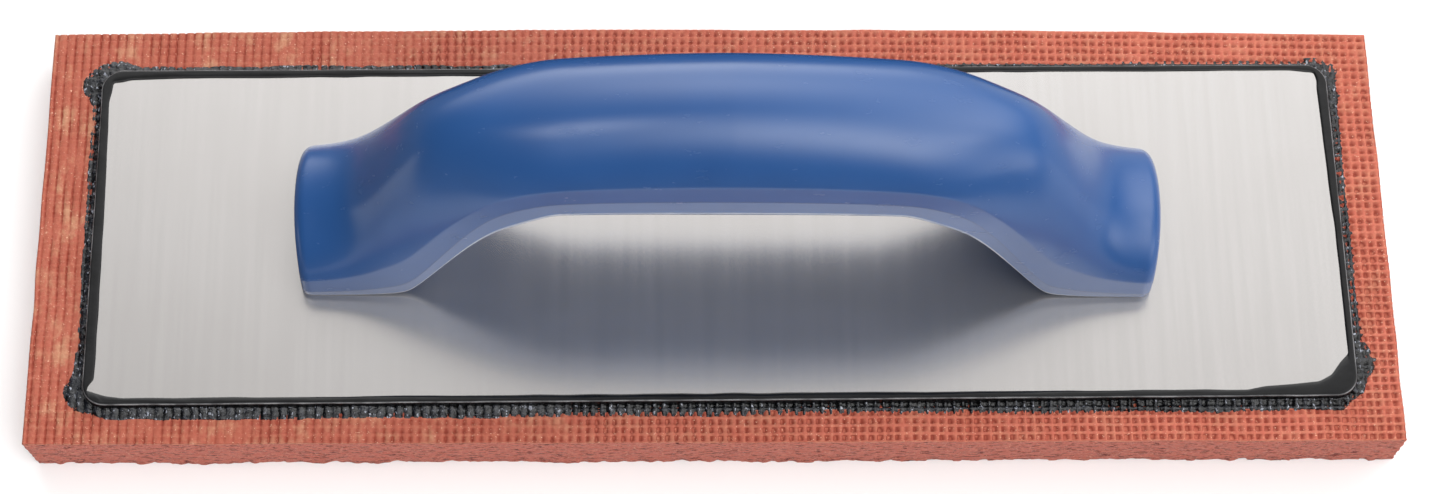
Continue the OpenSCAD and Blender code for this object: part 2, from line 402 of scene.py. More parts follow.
def print_lines(low, high, share_at):
    """Grid lines that follow the cloth's threads: five to a thread."""
    cells = round((high - low)/THREAD_PITCH)
    starts = low + (high - low)*np.arange(cells)/cells
    rim, pit = share_at(starts)
    middle = starts + THREAD_PITCH/2
    offsets = [middle - rim*THREAD_PITCH, middle - pit*THREAD_PITCH]
    offsets += [middle + pit*THREAD_PITCH, middle + rim*THREAD_PITCH]
    lines = np.stack([starts] + offsets, axis=-1).ravel()
    return np.append(lines, high)


def into_thread(value, low, rim, pit):
    """0 between the threads' prints, 1 in the middle of one."""
    phase = np.mod(value - low, THREAD_PITCH)/THREAD_PITCH
    return np.clip((rim - np.abs(phase - 0.5))/(rim - pit), 0, 1)


def print_relief(x, y):
    """How far the cloth print lies below the pad's face, as a share of its depth."""
    rim, pit = thread_shares(x)
    across = into_thread(x, PAD_LOW[0], rim, pit)
    along = into_thread(y, PAD_LOW[1], RIM_SHARE[1], PIT_SHARE[1])
    k = right_share(x)
    ribs = across*(RIB + RIB_CROSSED*along) + RIB_GAP*along*(1 - across)
    pits = PIT*across*along + PIT_GROOVE*np.maximum(across, along)
    wear_x, wear_y = WEAR_SIZE
    worn = WEAR + between(k, *WEAR_VARIES)*noise(print_wear, x/wear_x, y/wear_y)
    cell = CELL + CELL_VARIES*noise(print_cells, x/THREAD_PITCH, y/THREAD_PITCH)
    return np.clip(between(k, ribs, pits)*worn*cell, 0, DEEPEST)


def wandered(x, y):
    """The print's threads don't run quite straight."""
    short, long = STRAY_SIZE
    dx = STRAY[0]*noise(wander_x, x/long, y/short)
    dy = STRAY[1]*noise(wander_y, x/short, y/long)
    return x + dx, y + dy


def pad_outline(x, y):
    """The hand-cut outline: the far edge is bowed outwards."""
    t = (y - PAD_LOW[1])/(PAD_HIGH[1] - PAD_LOW[1])
    s = x/PAD_HIGH[0]
    return x, y + t*t*FAR_BOW*(1 - s*s)


def pad_face(x, y):
    """Points of the pad's printed upper face, and how deep in the print each is."""
    depth = print_relief(x, y)
    px, py = wandered(x, y)
    px, py = pad_outline(px, py)
    swell = SWELL*noise(pad_swell, x/SWELL_SIZE[0], y/SWELL_SIZE[1]) - SWELL
    return np.stack([px, py, PAD_TOP + swell - PRINT_DEPTH*depth], axis=-1), depth


def edge_walk(columns, rows):
    """Indices of a grid's rim, anticlockwise from its near left corner."""
    near = [(i, 0) for i in range(columns - 1)]
    right = [(columns - 1, j) for j in range(rows - 1)]
    far = [(i, rows - 1) for i in range(columns - 1, 0, -1)]
    left = [(0, j) for j in range(rows - 1, 0, -1)]
    return near + right + far + left


def pad_side_rows(rim_points):
    """The cut sides, row by row downwards: leaning, rough, and ragged along the bottom."""
    sponge, rag, long_rag = lattice(11), lattice(12), lattice(13)
    ahead, behind = np.roll(rim_points, -1, axis=0), np.roll(rim_points, 1, axis=0)
    run = (ahead - behind)[:, :2]
    outward = np.stack([run[:, 1], -run[:, 0]], axis=-1)
    for _ in range(CORNER_SMOOTHINGS):
        outward = (np.roll(outward, 1, axis=0) + outward + np.roll(outward, -1, axis=0))/3
    outward /= np.linalg.norm(outward, axis=1, keepdims=True)
    along = np.cumsum(np.linalg.norm(run, axis=1))/2
    x, y = rim_points[:, 0] - PAD_LOW[0], rim_points[:, 1] - PAD_LOW[1]
    near = 1 - ramp(y, *NEAR_FADE)
    left_corner = np.exp(-(x/LEFT_CORNER_SIZE[0])**2 - (y/LEFT_CORNER_SIZE[1])**2)
    ragged = sum(depth*noise(grid, along/size)
                 for grid, (depth, size) in zip((rag, long_rag), RAGS))
    rows = []
    for q in np.linspace(0, 1, SIDE_ROWS + 1)[1:]**ROW_CROWDING:
        z = PAD_TOP*(1 - q)
        hollows = sum(depth*noise(sponge, along/size + shift, z/height)
                      for depth, size, height, shift in HOLLOWS)
        inset = hollows*ramp(q, 0, HOLLOWS_START) + ragged*ramp(q, RAGS_START, 1)
        inset = inset - SPREAD*q*(1 - near)
        plan = rim_points[:, :2] - outward*inset[:, None]
        plan[:, 0] += LEFT_CORNER_CUT*q*left_corner
        plan[:, 1] += UNDERCUT*q*near
        rows.append(np.column_stack([plan, np.full(len(plan), z)]))
    return rows


def make_pad():
    """The printed face as a grid that is plain under the plate, the cut sides, and the bottom."""
    xs = print_lines(PAD_LOW[0], PAD_HIGH[0], thread_shares)
    ys = print_lines(PAD_LOW[1], PAD_HIGH[1], cross_shares)
    gx, gy = np.meshgrid(xs, ys, indexing="ij")
    face, depth = pad_face(gx, gy)
    inside_x = np.abs(xs - PLATE_MIDDLE[0]) < PLATE_X - HIDDEN_RIM
    inside_y = np.abs(ys - PLATE_MIDDLE[1]) < PLATE_Y - HIDDEN_RIM
    i0, i1 = np.flatnonzero(inside_x)[[0, -1]]
    j0, j1 = np.flatnonzero(inside_y)[[0, -1]]

    keep = np.ones(gx.shape, bool)
    keep[i0 + 1:i1, j0 + 1:j1] = False
    index = np.full(gx.shape, -1)
    index[keep] = np.arange(keep.sum())
    points = [face[keep]]
    quads = np.stack([index[:-1, :-1], index[1:, :-1], index[1:, 1:], index[:-1, 1:]], axis=-1)
    hidden = np.zeros(quads.shape[:2], bool)
    hidden[i0:i1, j0:j1] = True
    faces = quads[~hidden].tolist()
    well = [(i0 + i, j0 + j) for i, j in edge_walk(i1 - i0 + 1, j1 - j0 + 1)]
    faces.append([int(index[ij]) for ij in well])

    rim = np.array([index[ij] for ij in edge_walk(len(xs), len(ys))])
    count = int(keep.sum())
    above = rim
    for row in pad_side_rows(points[0][rim]):
        below = count + np.arange(len(rim))
        ahead = np.roll(np.arange(len(rim)), -1)
        faces += np.stack([above, below, below[ahead], above[ahead]], axis=-1).tolist()
        points.append(row)
        count += len(rim)
        above = below
    faces.append(above[::-1].tolist())

    points = np.concatenate(points)
    side = np.zeros(len(points))
    side[keep.sum():] = 1
    pit = np.zeros(len(points))
    pit[:keep.sum()] = depth[keep]
    pad = add_piece(
        "sponge_pad", points, faces, sponge_rubber(), "rubber", "rubber_pad",
        pit=pit, cut=side, ribbed=1 - right_share(points[:, 0]),
    )


# ---------------------------------------------------------------- sealant and adhesive

# How far apart the sections round the plate are, and the fewest round a corner.
STATION_STEP = 0.35
ARC_STEPS_LEAST = 6
# How many times the sealant's inner edge is smoothed.
EDGE_SMOOTHINGS = 3
# The sealant's inner edge wavers by this much, in waves of this length.
WAVER, WAVER_LENGTH = 0.1, 6
# The band on the plate: share of the way from its inner edge to the plate's edge, and height.
BAND = (0, 0.0), (0, 0.1), (0.1, 0.22), (0.3, 0.3), (0.6, 0.3), (0.85, 0.31)
# How much its height wavers past its inner edge, and over what length.
BAND_LUMP, BAND_LUMP_LENGTH = 0.03, 7
# Over the plate's edge and down to the rubber: distance outside the plate, height, and how strongly
# a pale highlight is painted there.
FOLD = (
    (0, 0.3, 0), (0.12, 0.27, 0.5), (0.22, 0.19, 1.0), (0.28, 0.08, 0.5), (0.31, -0.08, 0),
    (0.33, -1.0, 0), (0.4, -1.9, 0),
)
# How much its outer face wavers, and over what length.
FOLD_LUMP, FOLD_LUMP_LENGTH = 0.04, 5
# The height of its foot, which is sunk into the rubber.
SEAL_FOOT = PAD_TOP - 0.3
# How far the adhesive came out on each side, and the least that it came out anywhere.
SQUEEZE = {"near": 2.8, "far": 2.3, "left": 2.35, "right": 2.65}
SQUEEZE_LEAST = 0.6
# How much its width varies from thread to thread, and over longer stretches of this length.
SQUEEZE_ROUGH = 0.22
SQUEEZE_STEP, SQUEEZE_STEP_LENGTH = 0.2, 6
# Its rows, as shares of its width, and how far its bottom lies below the pad's face.
SQUEEZE_SHARES = (0, 0.12, 0.24, 0.36, 0.48, 0.6, 0.72, 0.84, 0.93, 1.0)
SQUEEZE_BOTTOM = 0.9
# Its section: the height of its round back and of its rise against the sealant, and how far its
# outer edge drops.
SQUEEZE_BACK, SQUEEZE_RISE, SQUEEZE_DROP = 0.34, 0.55, 0.16
# Its lumps: how high and how wide they are, the large ones and the small.
SQUEEZE_LUMP, SQUEEZE_LUMP_SIZE = 0.16, (1.3, 1.0)
SQUEEZE_GRAIN, SQUEEZE_GRAIN_SIZE = 0.08, 0.6
# It shows the print more deeply than the pad does. It starts this far under the sealant, and is
# sunk as far into the pad.
SQUEEZE_PRINT = 1.4
SQUEEZE_TUCK = 0.05


def rounded_outline(half_x, half_y, r):
    """Points and outward directions round a rectangle with round corners, anticlockwise."""
    corners = [(1, -1, -90), (1, 1, 0), (-1, 1, 90), (-1, -1, 180)]
    start = np.array([-(half_x - r), -half_y])
    points, outward = [], []
    for sx, sy, first in corners:
        centre = np.array([sx*(half_x - r), sy*(half_y - r)])
        normal = np.array([math.cos(math.radians(first)), math.sin(math.radians(first))])
        end = centre + r*normal
        steps = max(2, round(np.linalg.norm(end - start)/STATION_STEP))
        for t in np.arange(steps)/steps:
            points.append(start + t*(end - start))
            outward.append(normal)
        arc_steps = max(ARC_STEPS_LEAST, round(r*math.pi/2/STATION_STEP))
        for f in np.radians(first + 90*np.arange(arc_steps)/arc_steps):
            direction = np.array([math.cos(f), math.sin(f)])
            points.append(centre + r*direction)
            outward.append(direction)
        turned_by = math.radians(first + 90)
        start = centre + r*np.array([math.cos(turned_by), math.sin(turned_by)])
    return np.array(points), np.array(outward)


def walk(stops, count):
    """Evenly spaced points along straight runs between the stops, without the last stop."""
    stops = np.array(stops, float)
    lengths = np.append(0, np.cumsum(np.linalg.norm(np.diff(stops, axis=0), axis=1)))
    at = lengths[-1]*np.arange(count)/count
    return np.stack([np.interp(at, lengths, stops[:, k]) for k in (0, 1)], axis=-1)


def sealant_inner_edge(outer):
    """Where the sealant ends on the plate: a hand-run edge, wide over the near right corner and
    with a bare nick at the near left one."""
    x, y = PLATE_X, PLATE_Y
    near_left, near_right = (-x + 0.2, -y + 3.4), (x - 1.2, -y + 9.8)
    far_right, far_left = (x - 2.5, y - 1.7), (-x + 2.2, y - 2.8)
    near = [near_left, (-x + 2.2, -y + 2.8), (-x + 4.9, -y + 1.9), (-x + 8.5, -y + 1.35)]
    near += [(0, -y + 1.5), (x - 24.5, -y + 1.4), (x - 20.6, -y + 2.2), (x - 14, -y + 2.7)]
    near += [(x - 8.2, -y + 3.3), (x - 5.4, -y + 4.8), (x - 3.1, -y + 7.9), near_right]
    right = [near_right, (x - 1.4, 0), (x - 2.2, y - 6), (x - 2.0, y - 3.8), far_right]
    far = [far_right, (x - 8, y - 1.1), (0, y - 1.3), (-x + 15, y - 1.8), (-x + 6.2, y - 2.1)]
    far += [(-x + 4.4, y - 2.6), far_left]
    left = [far_left, (-x + 2.0, y - 5), (-x + 1.6, y - 7.4), (-x + 2.1, 0), (-x + 2.3, -y + 10.5)]
    left += [(-x + 2.2, -y + 5.6), (-x + 0.15, -y + 5.0), near_left]
    # Angles from the near left corner, with a quarter of a turn for each of the four sides.
    angles = np.mod(np.arctan2(outer[:, 1]/y, outer[:, 0]/x) + 3*math.pi/4, 2*math.pi)
    quarter = np.floor(angles/(math.pi/2)).astype(int)
    edge = np.zeros_like(outer)
    for number, stops in enumerate([near, right, far, left]):
        chosen = np.flatnonzero(quarter == number)
        ordered = chosen[np.argsort(angles[chosen])]
        edge[ordered] = walk(stops, len(ordered))
    for _ in range(EDGE_SMOOTHINGS):
        edge = (np.roll(edge, 1, axis=0) + 2*edge + np.roll(edge, -1, axis=0))/4
    return edge


def arc_length(points):
    """How far round a closed outline each point lies."""
    steps = np.linalg.norm(points - np.roll(points, 1, axis=0), axis=1)
    return np.cumsum(steps)


def make_rim_sealant():
    """Sealant round the plate's edge: a flat band on the plate that folds down over its side."""
    outer, outward = rounded_outline(PLATE_X, PLATE_Y, PLATE_R)
    waves, lumps = lattice(21), lattice(22)
    along = arc_length(outer)
    waver = WAVER*noise(waves, along/WAVER_LENGTH)
    inner = sealant_inner_edge(outer) + outward*waver[:, None]
    rows, worn = [], []
    for share, height in BAND:
        lump = BAND_LUMP*noise(lumps, along/BAND_LUMP_LENGTH, share*3) if share > 0 else 0
        z = DECK + height + lump + 0*along
        rows.append(np.column_stack([between(share, inner, outer), z]))
        worn.append(0)
    # The fold's third number is how strongly a pale highlight is painted along it.
    for distance, height, wear in FOLD:
        wave = FOLD_LUMP*noise(lumps, along/FOLD_LUMP_LENGTH, 40 + height)
        plan = outer + outward*(distance + wave)[:, None]
        rows.append(np.column_stack([plan, DECK + height + 0*along]))
        worn.append(wear)
    for distance, z in ((FOLD[-1][0], SEAL_FOOT), (0, SEAL_FOOT), (0, DECK)):
        rows.append(np.column_stack([outer + distance*outward, z + 0*along]))
        worn.append(0)
    rings = np.stack(rows, axis=1)
    rings[..., :2] = on_plate(rings[..., :2])
    faces = ring_faces(len(outer), len(rows), closed=True)
    add_piece(
        "rim_sealant_bead", rings.reshape(-1, 3), faces, sealant_skin(), "sealant",
        "rim_sealant", worn=np.tile(worn, len(outer)),
    )


def squeeze_bumps():
    """Where the adhesive came out further, or less: the place on the plate's edge, the extra width
    and how far along the edge it runs."""
    x, y = PLATE_X, PLATE_Y
    return [
        (-x, -y + 3.8, 2.2, 3.4), (-x + 2.6, -y + 0.5, -1.0, 2.2),
        (-x, y - 3.0, 2.9, 3.6), (-x + 3, y, 1.4, 3.0),
        (x, -y + 10.0, 2.3, 2.6), (x, -y + 7.0, 1.4, 2.0), (x - 2.0, -y + 1.2, -1.5, 1.6),
        (x - 0.5, y - 1.8, 2.6, 1.6), (x - 2.8, y, 1.4, 2.2), (x, y - 6.5, 0.9, 1.6),
    ]


def squeeze_width(points, outward, along):
    """How far the adhesive came out at each point of the edge."""
    rough, steps = lattice(31), lattice(32)
    weights = {
        "near": np.clip(-outward[:, 1], 0, 1)**2, "far": np.clip(outward[:, 1], 0, 1)**2,
        "left": np.clip(-outward[:, 0], 0, 1)**2, "right": np.clip(outward[:, 0], 0, 1)**2,
    }
    width = sum(SQUEEZE[side]*weight for side, weight in weights.items())
    for bx, by, extra, spread in squeeze_bumps():
        gap = np.hypot(points[:, 0] - bx, points[:, 1] - by)
        width = width + extra*np.exp(-(gap/spread)**2)
    width = width + SQUEEZE_ROUGH*noise(rough, along/THREAD_PITCH)
    width = width + SQUEEZE_STEP*noise(steps, along/SQUEEZE_STEP_LENGTH)
    return np.maximum(width, SQUEEZE_LEAST)


def make_squeeze_out():
    """Adhesive pressed out over the print of the cloth, which it follows."""
    lumps, fine = lattice(33), lattice(34)
    r = PLATE_R + SEAL_T
    base, outward = rounded_outline(PLATE_X + SEAL_T, PLATE_Y + SEAL_T, r)
    along = arc_length(base)
    width = squeeze_width(base, outward, along)
    rows, hollow = [], []
    for share in SQUEEZE_SHARES:
        plan = on_plate(base + outward*(share*width - SQUEEZE_TUCK)[:, None])
        relief = print_relief(plan[:, 0], plan[:, 1])
        dome = SQUEEZE_BACK*np.sqrt(1 - share**2) + SQUEEZE_RISE*(1 - share)**6
        dome = dome - SQUEEZE_DROP*share**3
        lump = SQUEEZE_LUMP*noise(lumps, *(plan/SQUEEZE_LUMP_SIZE).T)
        lump = lump + SQUEEZE_GRAIN*noise(fine, *(plan/SQUEEZE_GRAIN_SIZE).T)
        top = PAD_TOP - SQUEEZE_TUCK + dome + lump*(1 - share**4)
        rows.append(np.column_stack([plan, top - SQUEEZE_PRINT*PRINT_DEPTH*relief]))
        hollow.append(relief)
    for share in (1.0, 0.0):
        plan = on_plate(base + outward*(share*width - SQUEEZE_TUCK)[:, None])
        rows.append(np.column_stack([plan, PAD_TOP - SQUEEZE_BOTTOM + 0*along]))
        hollow.append(1 + 0*along)
    points = np.stack(rows, axis=1).reshape(-1, 3)
    faces = ring_faces(len(base), len(rows), closed=True)
    add_piece(
        "squeezed_adhesive", points, faces, adhesive(), "adhesive", "adhesive_squeeze_out",
        pit=np.stack(hollow, axis=1).ravel(),
    )


# ---------------------------------------------------------------- materials

def feed(tree, socket, value):
    """Links a node's output to a socket, or sets the socket to a number or a colour."""
    if isinstance(value, bpy.types.NodeSocket):
        tree.links.new(value, socket)
    else:
        socket.default_value = value


def math_node(tree, operation, a, b=0.0):
    """The output of a new math node."""
    node = tree.nodes.new("ShaderNodeMath")
    node.operation = operation
    feed(tree, node.inputs[0], a)
    feed(tree, node.inputs[1], b)
    return node.outputs[0]


class Graph:
    """A material's nodes. Most calls add a node or two and return an output."""

    def __init__(self, name):
        self.material = bpy.data.materials.new(name)
        self.material.use_nodes = True
        self.tree = self.material.node_tree
        self.shader = self.tree.nodes["Principled BSDF"]
        self.place = self.add("ShaderNodeTexCoord").outputs["Object"]

    def add(self, kind, **settings):
        node = self.tree.nodes.new(kind)
        for key, value in settings.items():
            setattr(node, key, value)
        return node

    def feed(self, socket, value):
        feed(self.tree, socket, value)

    def set(self, **inputs):
        """Sets the shader's sockets, named with underscores for spaces."""
        for key, value in inputs.items():
            self.feed(self.shader.inputs[key.replace("_", " ")], value)

    def stretched(self, x, y, z):
        """The place, with lumps x, y and z millimetres long."""
        node = self.add("ShaderNodeMapping")
        self.feed(node.inputs["Vector"], self.place)
        self.feed(node.inputs["Scale"], (1/(x*MM), 1/(y*MM), 1/(z*MM)))
        return node.outputs["Vector"]

    def lumps(self, size, detail=2.0, rough=0.5):
        """Noise from 0 to 1. size is in millimetres, or one size for each axis."""
        sizes = size if isinstance(size, tuple) else (size, size, size)
        node = self.add("ShaderNodeTexNoise")
        self.feed(node.inputs["Vector"], self.stretched(*sizes))
        self.feed(node.inputs["Scale"], 1.0)
        self.feed(node.inputs["Detail"], detail)
        self.feed(node.inputs["Roughness"], rough)
        return node.outputs["Fac"]

    def span(self, value, low, high, to_low=0.0, to_high=1.0):
        """Maps low..high on to to_low..to_high, and clamps."""
        node = self.add("ShaderNodeMapRange", clamp=True)
        numbers = [value, low, high, to_low, to_high]
        for socket, number in zip(node.inputs, numbers):
            self.feed(socket, number)
        return node.outputs["Result"]

    def times(self, a, b):
        return math_node(self.tree, "MULTIPLY", a, b)

    def mix(self, factor, a, b):
        """The colour a where factor is 0, and b where it is 1."""
        node = self.add("ShaderNodeMix", data_type="RGBA")
        for socket, value in zip((node.inputs[0], node.inputs[6], node.inputs[7]), (factor, a, b)):
            self.feed(socket, value)
        return node.outputs[2]

    def value(self, key):
        """What add_piece kept per point under this name."""
        node = self.add("ShaderNodeAttribute", attribute_name=key)
        return node.outputs["Fac"]

    def bump(self, height, distance, strength=1.0, onto=None):
        """Normals from a height. distance is in millimetres."""
        node = self.add("ShaderNodeBump")
        self.feed(node.inputs["Height"], height)
        self.feed(node.inputs["Distance"], distance*MM)
        self.feed(node.inputs["Strength"], strength)
        if onto is not None:
            self.feed(node.inputs["Normal"], onto)
        return node.outputs["Normal"]


def rgb(red, green, blue):
    """A colour from its 0 to 255 screen values, as linear light."""
    def linear(value):
        share = value/255
        return share/12.92 if share <= 0.04045 else ((share + 0.055)/1.055)**2.4
    return (linear(red), linear(green), linear(blue), 1.0)


def sponge_rubber():
    """Brick-red sponge rubber, printed by a cloth on its face and cut at its sides."""
    g = Graph("sponge_rubber")
    ribbed, pit, side = g.value("ribbed"), g.value("pit"), g.value("cut")
    # The face: brick red with a fine grain, darker where it is ribbed, which is painted shade, and
    # dustier there.
    broad = g.span(g.lumps(14, detail=3), 0.35, 0.65)
    grain = g.span(g.lumps(0.9, detail=4, rough=0.65), 0.3, 0.7)
    face = g.mix(broad, rgb(198, 108, 88), rgb(190, 100, 80))
    face = g.mix(g.span(grain, 0.4, 1.0), face, rgb(208, 126, 100))
    face = g.mix(g.times(ribbed, 0.6), face, rgb(158, 84, 66))
    dust = g.span(g.lumps((6, 8, 8), detail=5, rough=0.7), 0.5, 0.7)
    dust = g.times(dust, g.span(ribbed, 0, 1, 0.4, 0.85))
    face = g.mix(dust, face, rgb(196, 146, 114))
    # The print: painted shade darkens the pits' walls, and their bottoms are nearly as light as the
    # face.
    wall = g.mix(g.span(pit, 0.1, 0.6), face, rgb(138, 56, 40))
    printed = g.mix(g.span(pit, 0.65, 0.9, 0.0, 0.75), wall, face)
    # The cut sides: paler rubber with flat slits darkened by painted shade, and a painted highlight
    # along the upper edge.
    slits = g.lumps((2.4, 2.4, 0.6), detail=4, rough=0.7)
    cut = g.mix(g.span(slits, 0.4, 0.47), rgb(112, 34, 26), rgb(214, 118, 99))
    cut = g.mix(g.span(grain, 0.5, 1.0), cut, rgb(222, 138, 116))
    # The pale line along the side's upper edge is a painted highlight.
    rim = g.mix(g.span(side, 0.0, 0.4), printed, rgb(224, 156, 128))
    colour = g.mix(g.span(side, 0.5, 1.0), rim, cut)
    # Pale specks of painted highlight, and a rough skin, all over.
    painted_specks = g.span(g.lumps(0.55, detail=2, rough=0.8), 0.65, 0.71)
    colour = g.mix(g.times(painted_specks, 0.7), colour, rgb(244, 200, 172))
    g.set(Base_Color=colour, Specular_IOR_Level=0.25)
    g.set(Roughness=g.span(g.lumps(0.8, detail=3), 0.35, 0.7, 0.8, 0.45))
    skin = g.bump(g.lumps(0.55, detail=4, rough=0.7), 0.4, 0.7)
    g.set(Normal=g.bump(g.times(slits, side), 1.5, 0.9, onto=skin))
    return g.material


def sealant_skin():
    """Smooth black sealant, with a pale painted highlight along its fold."""
    g = Graph("rim_sealant_black")
    skin = g.mix(g.span(g.lumps(9), 0.35, 0.65), rgb(10, 10, 11), rgb(16, 16, 18))
    # The pale line along the fold is a painted highlight.
    worn = g.times(g.value("worn"), g.span(g.lumps(6, detail=4), 0.4, 0.6, 0.3, 1.0))
    g.set(Base_Color=g.mix(worn, skin, rgb(150, 150, 152)))
    g.set(Roughness=g.span(g.lumps(6, detail=3), 0.35, 0.65, 0.16, 0.26))
    g.set(Specular_IOR_Level=0.3)
    broad = g.bump(g.lumps(4.5, detail=2), 0.12, 0.5)
    g.set(Normal=g.bump(g.lumps(0.5, detail=2), 0.02, 0.5, onto=broad))
    return g.material


def adhesive():
    """Lumpy black adhesive, with painted shade in the print's hollows and pale painted highlights on
    its lumps.
    """
    g = Graph("squeezed_adhesive_black")
    pit = g.value("pit")
    tone = g.mix(g.span(g.lumps(1.4, detail=3), 0.35, 0.65), rgb(10, 11, 14), rgb(32, 35, 43))
    # Painted shade in the print's hollows.
    tone = g.mix(g.span(pit, 0.05, 0.45), tone, rgb(4, 4, 5))
    # Pale painted highlights on the lumps.
    painted_glints = g.span(g.lumps((0.7, 1.2, 1.2), detail=2, rough=0.7), 0.61, 0.67)
    painted_glints = g.times(painted_glints, g.span(pit, 0.1, 0.5, 1.0, 0.1))
    g.set(Base_Color=g.mix(painted_glints, tone, rgb(160, 164, 176)))
    g.set(Roughness=g.span(g.lumps(0.9, detail=3), 0.35, 0.65, 0.1, 0.32))
    g.set(Normal=g.bump(g.lumps(0.9, detail=3, rough=0.6), 0.35, 0.9))
    return g.material


def rolled_aluminium():
    """Mill aluminium with its grain front to back, so that it blurs reflections sideways."""
    g = Graph("rolled_aluminium")
    grain = g.lumps((0.22, 14, 14), detail=4, rough=0.7)
    streaks = g.lumps((1.6, 60, 60), detail=3)
    tint = g.mix(g.span(streaks, 0.35, 0.65), rgb(187, 184, 182), rgb(190, 187, 185))
    stains = g.span(g.lumps(26, detail=3), 0.4, 0.7)
    g.set(Base_Color=g.mix(g.times(stains, 0.3), tint, rgb(182, 178, 175)))
    g.set(Metallic=0.85, Anisotropic=0.35)
    rolled = math_node(g.tree, "ADD", grain, streaks)
    g.set(Roughness=g.span(rolled, 0.7, 1.3, 0.21, 0.24))
    tangent = g.add("ShaderNodeTangent", direction_type="RADIAL", axis="Y")
    g.set(Tangent=tangent.outputs["Tangent"])
    scratches = g.span(g.lumps((0.3, 2.5, 2.5), detail=1), 0.8, 0.83)
    scored = g.bump(scratches, 0.002, 0.2)
    g.set(Normal=g.bump(grain, 0.005, 0.5, onto=scored))
    return g.material


def handle_plastic():
    """Satin blue plastic: a dark seam where the mould's halves met, and a pale painted highlight
    along the sharp lower edges.
    """
    g = Graph("handle_plastic_blue")
    swirl = g.span(g.lumps(30, detail=2), 0.35, 0.65)
    plastic = g.mix(swirl, rgb(40, 79, 135), rgb(44, 84, 141))
    plastic = g.mix(g.times(g.value("seam"), 0.5), plastic, rgb(24, 40, 70))
    # The pale line on the lower edges is a painted highlight.
    rubbed = g.times(g.value("rubbed"), g.span(g.lumps(12, detail=3), 0.3, 0.6, 0.4, 0.9))
    g.set(Base_Color=g.mix(rubbed, plastic, rgb(176, 184, 200)))
    rub = g.span(g.lumps((9, 3, 3), detail=4, rough=0.6), 0.55, 0.75)
    g.set(Roughness=g.span(rub, 0, 1, 0.24, 0.3))
    g.set(IOR=1.56)
    # Sparse short scuffs on a faint orange peel.
    scuffs = g.span(g.lumps((0.5, 4, 4), detail=1), 0.83, 0.87)
    peel = g.bump(g.lumps(0.9, detail=2), 0.012, 0.35)
    g.set(Normal=g.bump(scuffs, 0.004, 0.15, onto=peel))
    return g.material


def zinc():
    """Zinc plating, for the screws."""
    g = Graph("zinc_plate")
    spangle = g.span(g.lumps(1.5), 0.35, 0.65)
    g.set(Base_Color=g.mix(spangle, rgb(205, 203, 196), rgb(190, 190, 186)))
    g.set(Metallic=1.0, Roughness=g.span(g.lumps(0.8), 0.3, 0.7, 0.25, 0.42))
    g.set(Normal=g.bump(g.lumps(0.3, detail=3), 0.02, 0.4))
    return g.material


def dress_cad_nodes():
    """The CAD nodes that stay as they are get their materials."""
    finishes = {
        "backing_plate": rolled_aluminium(), "adhesive_film": adhesive(), "foot_screws": zinc(),
    }
    for node, material in finishes.items():
        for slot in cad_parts[node].material_slots:
            slot.material = material


# ---------------------------------------------------------------- studio

# The camera: its lens in millimetres, its direction from the object and its roll, how far off it is
# and the point that it looks at.
LENS = 83.7
VIEW_ELEVATION, VIEW_AZIMUTH, VIEW_ROLL = (math.radians(angle) for angle in (65.22, -3.48, 3.06))
VIEW_DISTANCE = 0.7563
VIEW_TARGET = Vector((0.95, -3.6, 15.9))*MM

# The white floor's own faint light, and how far the floor reaches from the middle.
FLOOR_GLOW = 0.15
FLOOR_REACH = 3.0
# The floor as the glossy pieces reflect it: a dark sheet just above the floor, and lit patches just
# above that, in front of the object and at its sides. Each patch has its near left and far right
# corner and its brightness.
DARK_LIFT = 0.001
PATCH_LIFT = 0.0012
PATCH_FRONT = -0.125
PATCH_SIDE = 0.1
LIT_PATCHES = {
    "front_patch": ((-FLOOR_REACH, PATCH_FRONT), (FLOOR_REACH, 0), 0.9),
    "left_patch": ((-FLOOR_REACH, 0), (-PATCH_SIDE, FLOOR_REACH), 0.15),
    "right_patch": ((PATCH_SIDE, 0), (FLOOR_REACH, FLOOR_REACH), 0.6),
}
# The world's lights: where each comes from, in degrees, how quickly it fades away from there, and
# its strength.
SOFT_LIGHTS = (
    dict(elevation=5, azimuth=180, focus=16, strength=3.2),
    dict(elevation=15, azimuth=205, focus=16, strength=1.2),
    dict(elevation=46, azimuth=108, focus=16, strength=2.6),
    dict(elevation=46, azimuth=36, focus=16, strength=2.9),
    dict(elevation=46, azimuth=180, focus=16, strength=3.1),
    dict(elevation=69, azimuth=-68, focus=110, strength=5.4),
    dict(elevation=48, azimuth=72, focus=110, strength=1.7),
    dict(elevation=5, azimuth=60, focus=16, strength=2.1),
    dict(elevation=66, azimuth=45, focus=16, strength=1.9),
    dict(elevation=26, azimuth=135, focus=16, strength=1.5),
    dict(elevation=66, azimuth=0, focus=16, strength=1.5),
)


def direction(elevation, azimuth):
    """From the object towards a light or the camera. Azimuth 0 is the near side, 90 the right."""
    across = math.cos(elevation)
    return Vector((math.sin(azimuth)*across, -math.cos(azimuth)*across, math.sin(elevation)))


def add_camera():
    camera = bpy.data.objects.new("camera", bpy.data.cameras.new("camera"))
    bpy.context.scene.collection.objects.link(camera)
    camera.data.lens = LENS
    camera.data.sensor_fit = "HORIZONTAL"
    camera.data.clip_start = 0.01
    back = direction(VIEW_ELEVATION, VIEW_AZIMUTH)
    level = Vector((math.cos(VIEW_AZIMUTH), math.sin(VIEW_AZIMUTH), 0))
    above = back.cross(level)
    right = level*math.cos(VIEW_ROLL) + above*math.sin(VIEW_ROLL)
    up = above*math.cos(VIEW_ROLL) - level*math.sin(VIEW_ROLL)
    place = VIEW_TARGET + back*VIEW_DISTANCE
    turn = Matrix((right, up, back)).transposed().to_4x4()
    camera.matrix_world = Matrix.Translation(place) @ turn
    bpy.context.scene.camera = camera


